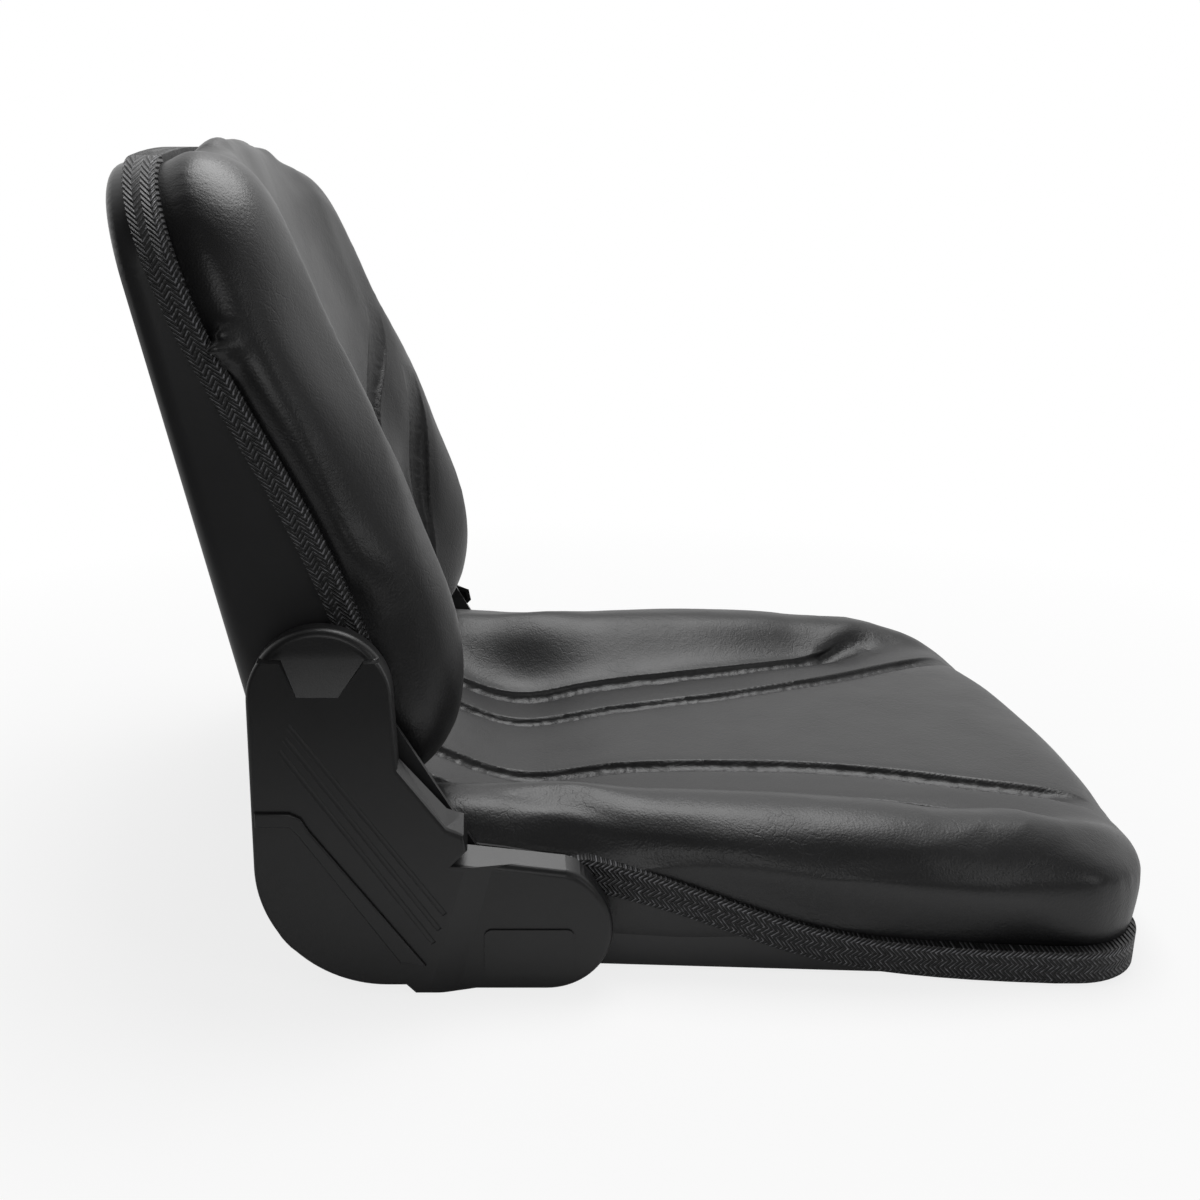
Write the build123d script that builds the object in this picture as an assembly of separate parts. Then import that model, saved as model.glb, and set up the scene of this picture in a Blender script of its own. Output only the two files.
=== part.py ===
"""Fold-down tractor seat: pan, cushions, edge trims, side covers and a hinged backrest.

The origin is the middle of the four mounting nuts, on the underside of the pan.
+X is forwards, +Y is the sitter's left, +Z is up. Sizes are in millimetres.
"""
import math
import os

from build123d import *

# Sheet and clearance; beyond is a length past every piece, for cuts
sheet = 2.0
plate = 4.0
beyond = 600.0
lap = 0.1
pin_fit = 0.05
pin_end_gap = 0.4
bolt_fit = 0.5
soft_gap = 0.3

# Seat pan
pan_rear_x = -205.0
pan_waist_x = -95.0
pan_rear_half = 206.0
pan_front_half = 222.0
pan_side_end_x = 205.0
pan_corner_x = 256.0
pan_front_x = 268.0
pan_corner_r = 42.0
pan_rear_r = 8.0
pan_rear_edge = (-215.0, 52.0)

# Edge trims
trim_outside = 3.5
trim_inside = 2.0
trim_height = 19.0
trim_cap = 4.0
trim_end_x = -92.0
seat_trim_line = [(-140, 78), (-52, 66), (4, 51), (55, 33), (88, 24.5), (131, 19), (208, 16.5), (300, 16)]
back_trim_outside = 2.4
back_trim_width = 20.0
back_trim_cap = 8.0
back_trim_end_z = 175.0
back_trim_line = [(-146, 80), (-151, 120), (-161, 171), (-190, 246), (-227, 316), (-245, 352), (-261, 397),
                  (-270, 430), (-276, 460)]

# Mounting nuts
mount_pitch_x = 230.0
mount_pitch_y = 290.0
mount_hole_r = 4.5
mount_nut_flats = 13.0
mount_nut_height = 6.5
mount_thread_r = 4.0
mount_nut_room = 7.8
mount_nut_over = 4.0

# Backrest pivot
pivot_x = -190.0
pivot_z = 164.0
sweep_r = 93.0

# Seat cushion sections: station, inset from the pan, crest, panel, inner groove, outer groove, foot, groove depths
seat_sections = [
    (-200, 6.0, 91, 70, 50, 99, 2, 4, 4),
    (-165, 4.5, 91, 65, 50, 99, 2, 4, 4),
    (-130, 4.3, 91, 53, 50, 99, 2, 4, 4),
    (-82, 4.3, 91, 36, 49, 99, 2, 4, 4),
    (-30, 4.3, 92, 42, 51, 103, 2, 4, 4),
    (30, 4.3, 92, 48, 58, 110, 2, 4, 4),
    (90, 4.9, 90, 52, 69, 120, 2, 4, 4),
    (150, 5.7, 84, 55, 87, 136, 2, 4, 6),
    (205, 8.8, 74, 57.5, 110, 158, 2, 4, 5),
    (228, 9.0, 68, 58, 119, 164, 17.5, 2, 1),
    (240, 11.0, 65, 57, 122, 163, 18, 0.5, 0.4),
    (258, 19.0, 58, 54, 122, 158, 20.5, 0.4, 0.4),
    (270, 33.0, 50, 48.5, 112, 145, 24.5, 0.4, 0.4),
    (277, 60.0, 41, 41, 94, 122, 31, 0.4, 0.4),
]
crest_share = 0.855
crest_slope = 30.0
panel_crown = 2.0
side_share = 0.6
groove_half = 5.0

# Backrest shell and cushion
back_foot_z = 97.0
back_top_z = 441.0
back_arch = 17.0
back_corner_r = 62.0
back_foot_r = 24.0
back_edge_r = 9.0
rear_low = (-230.0, 163.0)
rear_high = (-287.0, 407.0)
back_crest_share = 0.794
back_foot_share = 0.49
# Cushion sections: share of the height below the shoulder, or drop from the top; inset from the shell; crest and
# panel over the shell's back; insets of the two grooves; their depths
back_low_sections = [
    (-0.027, 25.0, 66.0, 61.0, 149, 107, 3, 3),
    (0.016, 19.0, 81.5, 67.5, 147, 104, 4, 4),
    (0.12, 9.0, 99.0, 75.0, 146, 103, 4, 4),
    (0.256, 6.5, 110.0, 77.0, 146, 100, 4, 4),
    (0.419, 6.5, 111.0, 73.0, 141, 90, 4, 4),
    (0.632, 6.5, 101.5, 68.5, 121, 66, 4, 3),
    (0.826, 4.5, 91.0, 66.5, 80, 52, 2.5, 0.4),
]
back_top_sections = [
    (86, 4.5, 80.0, 62.0, 62, 46, 0.4, 0.4),
    (53, 9.0, 72.5, 57.5, 64, 48, 0.4, 0.4),
    (31, 22.0, 64.5, 51.5, 72, 56, 0.4, 0.4),
    (16, 45.0, 54.0, 44.0, 92, 76, 0.4, 0.4),
    (8, 108.0, 42.0, 35.0, 146, 130, 0.4, 0.4),
]
back_side_lead = 16.8
back_trim_lead = 6.0
back_rear_cut = 11.0
back_overcut = 3.0
back_lean_drop = 31.0
back_lean = 0.4

# Side covers
cover_depth = 29.0
cover_rim_gap = 11.5
cover_wall = 3.0
cover_head_r = 37.0
cover_round_r = 69.0
cover_flap_z = -3.0
cover_flap_rear_x = -143.0
cover_step = 5.0
cover_nose_r = 35.0
cover_nose = (-72.0, 32.0)
cover_nose_turn = 75.0
cover_front_line = [(-123, 73), (-115, 81), (-117, 90), (-126, 94), (-151, 127)]
cover_edge_r = 2.5
head_recess = 6.0
head_flat = 21.0
head_edge_r = 4.5
head_facet_drop = 18.0
head_facet_top = (-209.0, -167.0)
head_facet_low = (-201.0, -180.0)
flap_step = 4.0
flap_facet = 15.0
flap_edge_r = 3.5
flap_line = [(-135.5, -3.0), (-118.0, 66.0)]
band_rise = 2.0
band_edge_r = 1.2
band_line = [(-225, 96), (-207, 96), (-202, 90), (-151, 17), (-137, 15), (-197, 94), (-201, 101), (-207, 104),
             (-225, 104)]
emboss_rise = 1.0
emboss_from = (-106.0, 6.0)
emboss_to = (-58.0, 34.0)
emboss_r = 4.0
rib_depth = 1.2
rib_r = 1.6
rib_lines = [((-206, 152), (-127, 45)), ((-208, 145), (-130, 36)), ((-211, 138), (-133, 28))]
boss_r = 5.0
screw_r = 1.7
screw_head_r = 3.6
screw_head_h = 2.2
screw_reach = 9.0
cover_screw_at = [(-166.0, 86.0), (-199.0, 116.0)]

# Hinge plates and fixings
bracket_foot_rear_x = -200.0
bracket_foot_front_x = -104.0
bracket_foot_z = 8.0
bracket_knee_z = 62.0
bracket_heel_x = -216.0
bracket_head_r = 24.0
pivot_r = 6.0
pivot_head_r = 10.0
pivot_head_h = 5.0
pivot_play = 0.5
pivot_nut_flats = 18.0
pivot_nut_h = 7.0
pivot_nut_room = 12.6
bush_r = 8.0
bush_flange_r = 13.0
bush_flange_h = 1.0
washer_r = 12.0
washer_h = 1.7
frame_bolt_r = 4.0
frame_bolt_head_r = 7.0
frame_bolt_head_h = 4.5
frame_nut_flats = 13.0
frame_nut_h = 6.5
frame_nut_room = 8.1
frame_bolt_at = [(-176.0, 24.0), (-122.0, 24.0)]
arm_head_r = 20.0
arm_top = (-222.0, 262.0)
arm_half_w = 14.0
stop_r = 4.0
stop_ring_r = 29.7
stop_pin_turn = -110.0
stop_gap = 0.05
nut_room = 5.0
bolt_end = 2.0

# Widths and places that follow from these
side_play = washer_h + bush_flange_h + soft_gap
back_half = pan_rear_half - side_play
bracket_y = pan_rear_half
arm_y = back_half - sheet
arm_inner_y = plate - arm_y
cover_face_y = pan_rear_half + cover_depth
cover_rim_y = pan_rear_half + cover_rim_gap
cover_left_x = pivot_x - cover_head_r
cover_step_z = cover_flap_z + cover_step
head_flat_z = pivot_z + head_flat
back_shoulder_z = back_top_z - back_arch
rear_slope = (rear_high[0] - rear_low[0]) / (rear_high[1] - rear_low[1])


def prism(face, start, end):
    """Raises a face drawn in the XZ plane from y = start to y = end."""
    return Pos(0, start, 0) * extrude(face, end - start, dir=(0, 1, 0))


def p3(x, z, y=0.0):
    """A point of the side view."""
    return Vector(x, y, z)


def side_poly(points):
    """A straight-sided face of the side view."""
    return make_face(Polyline(*[p3(x, z) for x, z in points], close=True))


def side_disc(x, z, r):
    """A round face of the side view."""
    return Plane(origin=(x, 0, z), x_dir=(1, 0, 0), z_dir=(0, -1, 0)) * Circle(r)


def rod(x, z, r, start, end):
    """A round bar across the seat."""
    return prism(side_disc(x, z, r), start, end)


def hex_bar(x, z, flats, start, end):
    """A hexagon bar across the seat."""
    side_plane = Plane(origin=(x, 0, z), x_dir=(1, 0, 0), z_dir=(0, -1, 0))
    return prism(side_plane * RegularPolygon(flats / 2, 6, major_radius=False), start, end)


def mirrored(shape):
    """The same piece on the other side of the seat."""
    return mirror(shape, about=Plane.XZ)


def pan_plan(grow):
    """The seat pan's outline seen from above, grown outwards by a distance."""
    side = Polyline((pan_rear_x, pan_rear_half), (pan_waist_x, pan_rear_half), (pan_side_end_x, pan_front_half),
                    (pan_corner_x, pan_front_half))
    front = ThreePointArc((pan_corner_x, pan_front_half), (pan_front_x, 0), (pan_corner_x, -pan_front_half))
    other = Polyline((pan_corner_x, -pan_front_half), (pan_side_end_x, -pan_front_half),
                     (pan_waist_x, -pan_rear_half), (pan_rear_x, -pan_rear_half))
    rear = Line((pan_rear_x, -pan_rear_half), (pan_rear_x, pan_rear_half))
    face = make_face(Wire(list(side.edges()) + [front] + list(other.edges()) + [rear]))
    front_corners = [v for v in face.vertices() if abs(v.X - pan_corner_x) < lap]
    face = fillet(front_corners, pan_corner_r)
    rear_corners = [v for v in face.vertices() if abs(v.X - pan_rear_x) < lap]
    face = fillet(rear_corners, pan_rear_r)
    if grow:
        face = offset(face, grow)
    return face


def back_plan(grow):
    """The backrest's outline seen from the front, grown outwards by a distance."""
    half = back_half
    foot = Line((0, -half, back_foot_z), (0, half, back_foot_z))
    left = Line((0, half, back_foot_z), (0, half, back_shoulder_z))
    arch = ThreePointArc((0, half, back_shoulder_z), (0, 0, back_top_z), (0, -half, back_shoulder_z))
    right = Line((0, -half, back_shoulder_z), (0, -half, back_foot_z))
    face = make_face(Wire([foot, left, arch, right]))
    top = [v for v in face.vertices() if v.Z > back_shoulder_z - lap]
    face = fillet(top, back_corner_r)
    low = [v for v in face.vertices() if v.Z < back_foot_z + lap]
    face = fillet(low, back_foot_r)
    if grow:
        face = offset(face, grow)
    return face


def along_x(face, start, end):
    """Raises a face drawn in the YZ plane from x = start to x = end."""
    return Pos(start, 0, 0) * extrude(face, end - start, dir=(1, 0, 0))


def curve_at(points, value, axis):
    """Height or depth of a curve of the side view where its other coordinate has a value."""
    line = Spline(*[p3(x, z) for x, z in points])
    low, high = 0.0, 1.0
    first = (line @ 0).X if axis == "x" else (line @ 0).Z
    last = (line @ 1).X if axis == "x" else (line @ 1).Z
    rising = last > first
    for _ in range(40):
        mid = (low + high) / 2
        here = (line @ mid).X if axis == "x" else (line @ mid).Z
        if (here < value) == rising:
            low = mid
        else:
            high = mid
    return (line @ low).Z if axis == "x" else (line @ low).X


def side_band(points, low, high, shift):
    """A face of the side view between two shifted copies of a curve."""
    dx, dz = shift
    first = Spline(*[p3(x + low * dx, z + low * dz) for x, z in points])
    second = Spline(*[p3(x + high * dx, z + high * dz) for x, z in points])
    return make_face(Wire([first, Line(first @ 1, second @ 1), second, Line(second @ 0, first @ 0)]))


def pan_half(x):
    """Half width of the pan at a place along it, corners aside."""
    share = min(1.0, max(0.0, (x - pan_waist_x) / (pan_side_end_x - pan_waist_x)))
    return pan_rear_half + (pan_front_half - pan_rear_half) * share


def rear_x(z):
    """The back face of the backrest shell at a height."""
    return rear_low[0] + (z - rear_low[1]) * rear_slope


def ahead_of_rear(gap):
    """The room in front of the backrest shell's back face, moved forwards by a gap."""
    foot, head = (rear_x(0) + gap, 0), (rear_x(beyond) + gap, beyond)
    return prism(side_poly([foot, head, (beyond, beyond), (beyond, 0)]), -beyond, beyond)


# Seat pan: a pressed tray whose wall falls from the hinges to the front
pan_outer = extrude(pan_plan(0), beyond)
pan_inner = Pos(0, 0, sheet) * extrude(pan_plan(-sheet), beyond)
below_edge = side_band(seat_trim_line, -trim_cap, -beyond, (0, 1))
wall_x, wall_z = seat_trim_line[0]
rear_edge_x, rear_edge_z = pan_rear_edge
rear_cap = side_poly([(rear_edge_x, -beyond), (wall_x + lap, -beyond), (wall_x + lap, wall_z - trim_cap),
                      (rear_edge_x, rear_edge_z)])
wall_zone = prism(below_edge, -beyond, beyond) + prism(rear_cap, -beyond, beyond)
seat_pan = (pan_outer - pan_inner) & wall_zone
mount_spots = [Pos(i * mount_pitch_x / 2, j * mount_pitch_y / 2, 0) for i in (-1, 1) for j in (-1, 1)]
for spot in mount_spots:
    seat_pan -= spot * Cylinder(mount_hole_r, beyond)
for x, z in frame_bolt_at:
    seat_pan -= rod(x, z, frame_bolt_r + bolt_fit, -beyond, beyond)

# Mounting nuts welded over the holes, inside the pan
nut_face = RegularPolygon(mount_nut_flats / 2, 6, major_radius=False) - Circle(mount_thread_r)
nut_blank = Pos(0, 0, sheet) * extrude(nut_face, mount_nut_height)
pocket = Pos(0, 0, sheet) * extrude(Circle(mount_nut_room), mount_nut_height + mount_nut_over)
mount_nuts = Compound(children=[spot * nut_blank for spot in mount_spots])

# Seat edge trim: a braided channel pushed over the pan's edge
trim_zone = prism(side_band(seat_trim_line, 0, -trim_height, (0, 1)), -beyond, beyond)
trim_ring = Pos(0, 0, -beyond / 2) * extrude(pan_plan(trim_outside), beyond)
trim_core = Pos(0, 0, -beyond / 2) * extrude(pan_plan(-sheet - trim_inside), beyond)
front_zone = Pos(trim_end_x + beyond / 2, 0, 0) * Box(beyond, 2 * beyond, 2 * beyond)
seat_edge_trim = ((trim_ring - trim_core) & trim_zone & front_zone) - seat_pan


def swell(t, low, high, foot_t, crest_t, half, side):
    """Height of a cushion's surface at a distance from its middle line."""
    if t <= foot_t:
        return low + panel_crown * max(0.0, 1 - (t / foot_t) ** 2)
    if t <= crest_t:
        u = (t - foot_t) / (crest_t - foot_t)
        return low + (high - low) * u * u * (3 - 2 * u)
    u = min(1.0, (t - crest_t) / (half - crest_t))
    return high - (high - side) * (1 - math.sqrt(1 - u * u))


def skin(height, half, inner, outer, deep_in, deep_out, place):
    """Edges of a cushion's outer line from one side to the other, with a groove pair each side."""
    w = groove_half

    def spot(t, drop=0.0):
        return place(t, height(abs(t)) - drop)

    def side_line(sign):
        ends = [outer + w + (half - outer - w) * k for k in (0, 0.3, 0.6, 0.82, 0.95, 1)]
        return [spot(sign * t) for t in ends]

    right = side_line(1)
    left = side_line(-1)[::-1]
    panel = [spot(t) for t in (w - inner, (w - inner) / 2, 0, (inner - w) / 2, inner - w)]
    half_line = [spot(-outer - w), spot(-outer, deep_out), spot(w - outer), spot(-inner - w), spot(-inner, deep_in),
                 spot(w - inner)]
    other = [spot(inner - w), spot(inner, deep_in), spot(inner + w), spot(outer - w), spot(outer, deep_out),
             spot(outer + w)]
    edges = [Spline(*left)] + [Line(a, b) for a, b in zip(half_line, half_line[1:])] + [Spline(*panel)]
    edges += [Line(a, b) for a, b in zip(other, other[1:])] + [Spline(*right)]
    return edges, left[0], right[-1]


def seat_section(x, inset, crest, panel, inner, outer, foot, deep_in, deep_out):
    """One cross-section of the seat cushion, as a face standing across the seat."""
    half = pan_half(x) - inset
    crest_y = crest_share * half
    side = foot + (crest - foot) * side_share
    edges, a, b = skin(lambda t: swell(t, panel, crest, min(outer, crest_y - crest_slope), crest_y, half, side),
                       half, inner, outer, deep_in, deep_out, lambda t, h: Vector(x, t, h))
    ring = [b, Vector(x, half, foot), Vector(x, -half, foot), a]
    return make_face(Wire(edges + [Line(m, n) for m, n in zip(ring, ring[1:])]))


# Seat cushion: bolsters, dished panel, grooves and rolled nose through one set of sections
seat_cushion = loft([seat_section(*row) for row in seat_sections])
seat_cuts = [rod(pivot_x, pivot_z, sweep_r, -beyond, beyond)]
seat_cuts += [Pos(0, 0, sheet - beyond / 2) * Box(2 * beyond, 2 * beyond, beyond)]
seat_cuts += [spot * pocket for spot in mount_spots]

# Hinge plates on the pan's sides
def bracket_blank():
    """The right-hand hinge plate, before its holes."""
    head = side_disc(pivot_x, pivot_z, bracket_head_r)
    body = side_poly([(bracket_foot_rear_x, bracket_foot_z), (bracket_foot_front_x, bracket_foot_z),
                      (bracket_foot_front_x, bracket_knee_z), (pivot_x + bracket_head_r, pivot_z),
                      (pivot_x - bracket_head_r, pivot_z), (bracket_heel_x, bracket_knee_z)])
    return prism(body + head, -bracket_y - plate, -bracket_y)


bracket = bracket_blank()
bracket -= rod(pivot_x, pivot_z, bush_r, -beyond, 0)
for x, z in frame_bolt_at:
    bracket -= rod(x, z, frame_bolt_r + bolt_fit, -beyond, 0)
for x, z in cover_screw_at:
    bracket -= rod(x, z, screw_r + bolt_fit, -beyond, 0)


def on_stop_ring(turn):
    """A spot on the circle where the stop pin and stud meet."""
    angle = math.radians(turn)
    return pivot_x + stop_ring_r * math.cos(angle), pivot_z + stop_ring_r * math.sin(angle)


stud_turn = stop_pin_turn - 2 * math.degrees(math.asin((2 * stop_r + stop_gap) / (2 * stop_ring_r)))
pin_x, pin_z = on_stop_ring(stop_pin_turn)
stud_x, stud_z = on_stop_ring(stud_turn)
bracket -= rod(pin_x, pin_z, stop_r, -beyond, 0)
stop_pin = rod(pin_x, pin_z, stop_r, -bracket_y - plate, -bracket_y + side_play - pin_end_gap)
stop_stud = rod(stud_x, stud_z, stop_r, -bracket_y + pin_end_gap, -back_half)

# Pivot pieces
bush = rod(pivot_x, pivot_z, bush_r, -bracket_y - plate, -bracket_y)
bush += rod(pivot_x, pivot_z, bush_flange_r, -bracket_y, -bracket_y + bush_flange_h)
bush -= rod(pivot_x, pivot_z, pivot_r + pin_fit, -beyond, 0)
washer = rod(pivot_x, pivot_z, washer_r, -back_half - washer_h, -back_half)
washer -= rod(pivot_x, pivot_z, pivot_r, -beyond, 0)
bolt_head_y = -bracket_y - plate - pivot_play
pivot_bolt = rod(pivot_x, pivot_z, pivot_head_r, bolt_head_y - pivot_head_h, bolt_head_y)
pivot_bolt += rod(pivot_x, pivot_z, pivot_r, bolt_head_y, arm_inner_y + pivot_nut_h + bolt_end)
pivot_nut = hex_bar(pivot_x, pivot_z, pivot_nut_flats, arm_inner_y, arm_inner_y + pivot_nut_h)
pivot_nut -= rod(pivot_x, pivot_z, pivot_r, -beyond, 0)

frame_bolts = Compound(children=[
    rod(x, z, frame_bolt_head_r, -bracket_y - plate - frame_bolt_head_h, -bracket_y - plate)
    + rod(x, z, frame_bolt_r, -bracket_y - plate, -bracket_y + sheet + frame_nut_h + bolt_end)
    for x, z in frame_bolt_at])
frame_nuts = Compound(children=[
    hex_bar(x, z, frame_nut_flats, -bracket_y + sheet, -bracket_y + sheet + frame_nut_h)
    - rod(x, z, frame_bolt_r, -beyond, 0)
    for x, z in frame_bolt_at])
for x, z in frame_bolt_at:
    room = rod(x, z, frame_nut_room, -bracket_y + sheet, -bracket_y + sheet + frame_nut_h + nut_room)
    seat_cuts += [room, mirrored(room)]
seat_cushion -= seat_cuts

# Side covers: a moulded tray with a round head over each hinge
def cover_outline():
    """The cover's outline in the side view."""
    nose_x, nose_z = cover_nose
    round_x = cover_left_x + cover_round_r
    turn = math.radians(cover_nose_turn)
    top_front = (nose_x + cover_nose_r * math.cos(turn), nose_z + cover_nose_r * math.sin(turn))
    diag = math.cos(math.radians(45))
    low_left = (round_x - cover_round_r * diag, cover_step_z + cover_round_r - cover_round_r * diag)
    edges = [
        Line(p3(cover_left_x, pivot_z), p3(cover_left_x, cover_step_z + cover_round_r)),
        ThreePointArc(p3(cover_left_x, cover_step_z + cover_round_r), p3(*low_left), p3(round_x, cover_step_z)),
        Line(p3(round_x, cover_step_z), p3(cover_flap_rear_x - cover_step, cover_step_z)),
        Line(p3(cover_flap_rear_x - cover_step, cover_step_z), p3(cover_flap_rear_x, cover_flap_z)),
        Line(p3(cover_flap_rear_x, cover_flap_z), p3(nose_x, cover_flap_z)),
        ThreePointArc(p3(nose_x, cover_flap_z), p3(nose_x + cover_nose_r, nose_z), p3(*top_front)),
    ]
    front = [top_front] + cover_front_line + [(pivot_x + cover_head_r, pivot_z)]
    edges += [Line(p3(*a), p3(*b)) for a, b in zip(front, front[1:])]
    edges += [
        ThreePointArc(p3(pivot_x + cover_head_r, pivot_z), p3(pivot_x, pivot_z + cover_head_r),
                      p3(cover_left_x, pivot_z)),
    ]
    return make_face(Wire(edges))


cover_face = cover_outline()
cover_body = prism(cover_face, -cover_face_y, -cover_rim_y)
outer_edges = [e for e in cover_body.edges() if abs(e.center().Y + cover_face_y) < lap]
cover_body = fillet(outer_edges, cover_edge_r)
cover_out_y = -cover_face_y - cover_wall

# Head of the cover: a set-back round top over a sloping facet
head_top = side_poly([(-beyond, head_flat_z), (beyond, head_flat_z), (beyond, beyond), (-beyond, beyond)])
head_y = head_recess - cover_face_y
cover_body -= prism(head_top, cover_out_y, head_y)
head_edges = [e for e in cover_body.edges() if abs(e.center().Y - head_y) < lap and e.center().Z > head_flat_z + lap]
cover_body = fillet(head_edges, head_edge_r)
facet_z = head_flat_z - head_facet_drop
facet_plan = side_poly([(head_facet_top[0], head_flat_z), (head_facet_top[1], head_flat_z),
                        (head_facet_low[1], facet_z), (head_facet_low[0], facet_z)])
facet_side = make_face(Polyline((0, cover_out_y, facet_z), (0, -cover_face_y, facet_z), (0, head_y, head_flat_z),
                                (0, cover_out_y, head_flat_z), close=True))
cover_body -= prism(facet_plan, cover_out_y, head_y) & along_x(facet_side, -beyond, beyond)

# Flap of the cover: set back behind a sloping facet
(flap_low_x, flap_low_z), (flap_high_x, flap_high_z) = flap_line
flap_run = Vector(flap_high_x - flap_low_x, 0, flap_high_z - flap_low_z).normalized()
flap_ahead = Vector(flap_run.Z, 0, -flap_run.X)
flap_base = Vector(flap_low_x, -cover_face_y, flap_low_z) - flap_run * beyond
flap_down = Vector(0, flap_step, 0)
flap_out = Vector(0, -cover_wall, 0)
flap_points = [flap_base + flap_out, flap_base, flap_base + flap_ahead * flap_facet + flap_down,
               flap_base + flap_ahead * beyond + flap_down, flap_base + flap_ahead * beyond + flap_out]
flap_room = extrude(make_face(Polyline(*flap_points, close=True)), 2 * beyond, dir=flap_run)
cover_body -= flap_room
flap_y = flap_step - cover_face_y
flap_edges = [e for e in cover_body.edges() if abs(e.center().Y - flap_y) < lap
              and (e.center() - flap_base).dot(flap_ahead) > flap_facet + lap]
cover_body = fillet(flap_edges, flap_edge_r)

# Inside of the cover, its screw posts and its raised and sunk lines
hollow = prism(offset(cover_face, -cover_wall), cover_wall - cover_face_y, -cover_rim_y + lap)
head_block = side_poly([(-beyond, facet_z), (beyond, facet_z), (beyond, beyond), (-beyond, beyond)])
hollow -= prism(head_block, -cover_face_y, head_y + cover_wall)
hollow -= Pos(Vector(0, cover_wall, 0) - flap_ahead * cover_wall) * flap_room
cover_body -= hollow
for x, z in cover_screw_at:
    cover_body += rod(x, z, boss_r, cover_wall - cover_face_y - lap, -bracket_y - plate)
    cover_body -= rod(x, z, screw_r, -bracket_y - plate - screw_reach - bolt_end, -bracket_y)
band = prism(side_poly(band_line), -cover_face_y - band_rise, -cover_face_y + lap)
band_edges = [e for e in band.edges() if abs(e.center().Y + cover_face_y + band_rise) < lap]
cover_body += fillet(band_edges, band_edge_r)
(emboss_x0, emboss_z0), (emboss_x1, emboss_z1) = emboss_from, emboss_to
emboss = side_poly([(emboss_x0, emboss_z0), (emboss_x1, emboss_z0), (emboss_x1, emboss_z1), (emboss_x0, emboss_z1)])
emboss = fillet(emboss.vertices(), emboss_r)
cover_body += prism(emboss, flap_y - emboss_rise, flap_y + lap)
rib_y = rib_depth - rib_r - cover_face_y
for (x0, z0), (x1, z1) in rib_lines:
    path = Line((x0, rib_y, z0), (x1, rib_y, z1))
    start = Plane(origin=path @ 0, z_dir=path % 0)
    cover_body -= sweep(start * Circle(rib_r), path=path)

cover_screws = Compound(children=[
    rod(x, z, screw_head_r, -bracket_y, -bracket_y + screw_head_h)
    + rod(x, z, screw_r, -bracket_y - plate - screw_reach, -bracket_y)
    for x, z in cover_screw_at])

# Backrest shell: a pressed tray with a deep flange at the hinges
shell_line = [(x - back_trim_cap, z) for x, z in back_trim_line]
(low_x, low_z), (high_x, high_z) = shell_line[0], shell_line[-1]
shell_zone = make_face(Wire([
    Spline(*[p3(x, z) for x, z in shell_line]),
    Line(p3(high_x, high_z), p3(rear_x(high_z), high_z)),
    Line(p3(rear_x(high_z), high_z), p3(rear_x(low_z), low_z)),
    Line(p3(rear_x(low_z), low_z), p3(low_x, low_z)),
]))
shell_outer = along_x(back_plan(0), -beyond, 0) & ahead_of_rear(0)
rear_edges = [e for e in shell_outer.edges() if abs(e.center().X - rear_x(e.center().Z)) < lap]
shell_outer = fillet(rear_edges, back_edge_r)
shell_core = along_x(back_plan(-sheet), -beyond, 0) & ahead_of_rear(sheet)
core_edges = [e for e in shell_core.edges() if abs(e.center().X - rear_x(e.center().Z) - sheet) < lap]
shell_core = fillet(core_edges, back_edge_r - sheet)
backrest_shell = (shell_outer - shell_core) & prism(shell_zone, -beyond, beyond)

# Backrest edge trim
back_band = prism(side_band(back_trim_line, 0, -back_trim_width, (1, 0)), -beyond, beyond)
back_ring = along_x(back_plan(back_trim_outside), -beyond, 0)
back_core = along_x(back_plan(-sheet - trim_inside), -beyond, 0)
above_hinge = Pos(0, 0, back_trim_end_z + beyond) * Box(4 * beyond, 2 * beyond, 2 * beyond)
backrest_edge_trim = ((back_ring - back_core) & back_band & above_hinge) - backrest_shell


def back_section(z, inset, crest_over, panel_over, inner_inset, outer_inset, deep_in, deep_out):
    """One level section of the backrest cushion, as a face lying across the seat."""
    half = back_half - inset
    inner, outer = back_half - inner_inset, back_half - outer_inset
    crest, panel = rear_x(z) + crest_over, rear_x(z) + panel_over
    rear = rear_x(z) + sheet - back_overcut + max(0.0, z - back_top_z + back_lean_drop) * back_lean
    lead = min(curve_at(back_trim_line, z, "z") + back_trim_lead, crest - back_side_lead)
    edges, a, b = skin(lambda t: swell(t, panel, crest, back_foot_share * half, back_crest_share * half, half, lead),
                       half, inner, outer, deep_in, deep_out, lambda t, h: Vector(h, t, z))
    notch = back_rear_cut
    ring = [b, Vector(rear + notch, half, z), Vector(rear, half - notch, z), Vector(rear, notch - half, z),
            Vector(rear + notch, -half, z), a]
    return make_face(Wire(edges + [Line(m, n) for m, n in zip(ring, ring[1:])]))


back_rise = back_top_z - back_top_sections[0][0] - back_foot_z
back_rows = [(back_foot_z + row[0] * back_rise, *row[1:]) for row in back_low_sections]
back_rows += [(back_top_z - row[0], *row[1:]) for row in back_top_sections]
backrest_cushion = loft([back_section(*row) for row in back_rows])
foot_front = curve_at(back_trim_line, back_foot_z, "z") - back_trim_cap
foot_top = back_foot_z + back_edge_r
back_cuts = [Pos(foot_front + soft_gap - beyond / 2, 0, foot_top - beyond / 2) * Box(beyond, 2 * beyond, beyond)]
behind = side_poly([(rear_x(0) + sheet, 0), (rear_x(beyond) + sheet, beyond), (-2 * beyond, beyond),
                    (-2 * beyond, 0)])
back_cuts += [prism(behind, -beyond, beyond)]

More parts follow.
